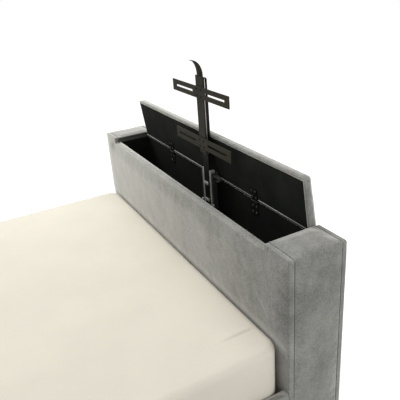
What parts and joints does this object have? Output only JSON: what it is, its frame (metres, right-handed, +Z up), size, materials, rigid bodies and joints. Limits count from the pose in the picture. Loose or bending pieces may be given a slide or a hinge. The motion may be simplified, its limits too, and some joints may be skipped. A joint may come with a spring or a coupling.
{
  "type": "tv bed",
  "caption": "Upholstered double bed with a box at the foot end, whose hinged lid stands open for a raised screen lift with slotted crossbars; mattress and fitted sheet.",
  "frame": {"origin": "on the floor, at the middle of the bed's length and width", "axes": "+Y from the lift box at the foot towards the headboard, +X to the far side, +Z up"},
  "size_m": [1.67, 2.332, 1.359],
  "materials": {
    "fabric": "matt grey velour upholstery",
    "lining": "black lined board",
    "steel": "dark brown painted steel, satin",
    "frame": "grey painted steel, satin",
    "plastic": "black, matt",
    "wood": "plain sanded softwood",
    "ticking": "off-white mattress cloth",
    "cotton": "cream cotton sheet"
  },
  "bodies": {
    "bed": {"box_floor": "lining", "box_foot_far_inner": "plastic", "box_foot_far_outer": "plastic", "box_foot_near_inner": "plastic", "box_foot_near_outer": "plastic", "box_inner_wall": "lining", "box_outer_wall": "lining", "centre_beam": "wood", "centre_leg_foot": "plastic", "centre_leg_head": "plastic", "end_block_far": "lining", "end_block_near": "lining", "end_cover_far": "fabric", "end_cover_near": "fabric", "fitted_sheet": "cotton", "headboard_core": "wood", "headboard_cover": "fabric", "headboard_leg_far": "plastic", "headboard_leg_near": "plastic", "hinge_wall_leaf_far": "steel", "hinge_wall_leaf_near": "steel", "lift_base": "frame", "lift_knob": "plastic", "lift_motor_housing": "plastic", "lift_motor_tube": "plastic", "lift_outer_rail": "frame", "lift_side_clip": "frame", "lift_top_bracket": "frame", "mattress": "ticking", "panel_inner": "fabric", "panel_outer": "fabric", "side_rail_cover_far": "fabric", "side_rail_cover_near": "fabric", "side_rail_far": "wood", "side_rail_near": "wood", "slat_01": "wood", "slat_02": "wood", "slat_03": "wood", "slat_04": "wood", "slat_05": "wood", "slat_06": "wood", "slat_07": "wood", "slat_08": "wood", "slat_09": "wood", "slat_10": "wood", "slat_11": "wood", "slat_cleat_far": "wood", "slat_cleat_near": "wood"},
    "lid": {"lid_board": "lining", "lid_cover": "fabric", "hinge_lid_leaf_near": "steel", "hinge_lid_leaf_far": "steel"},
    "lift_stage": {"lift_mid_frame": "frame"},
    "lift_head": {"lift_carriage": "steel", "mast_plate": "steel", "lid_horn": "steel", "rear_arm": "plastic", "crossbar_upper": "steel", "crossbar_lower": "steel"}
  },
  "joints": [
    {"name": "lid_hinge", "type": "hinge", "parent": "bed", "child": "lid", "pos_m": [0, -1.1245, 0.832], "axis": [1, 0, 0], "range_deg": [0, 7]},
    {"name": "stage_slide", "type": "slide", "parent": "bed", "child": "lift_stage", "axis": [0, 0, 1], "range_m": [-0.2625, 0]},
    {"name": "head_slide", "type": "slide", "parent": "lift_stage", "child": "lift_head", "axis": [0, 0, 1], "range_m": [-0.2625, 0]}
  ],
  "couplings": [
    {"joint": "head_slide", "follows": "stage_slide", "ratio": 1}
  ]
}
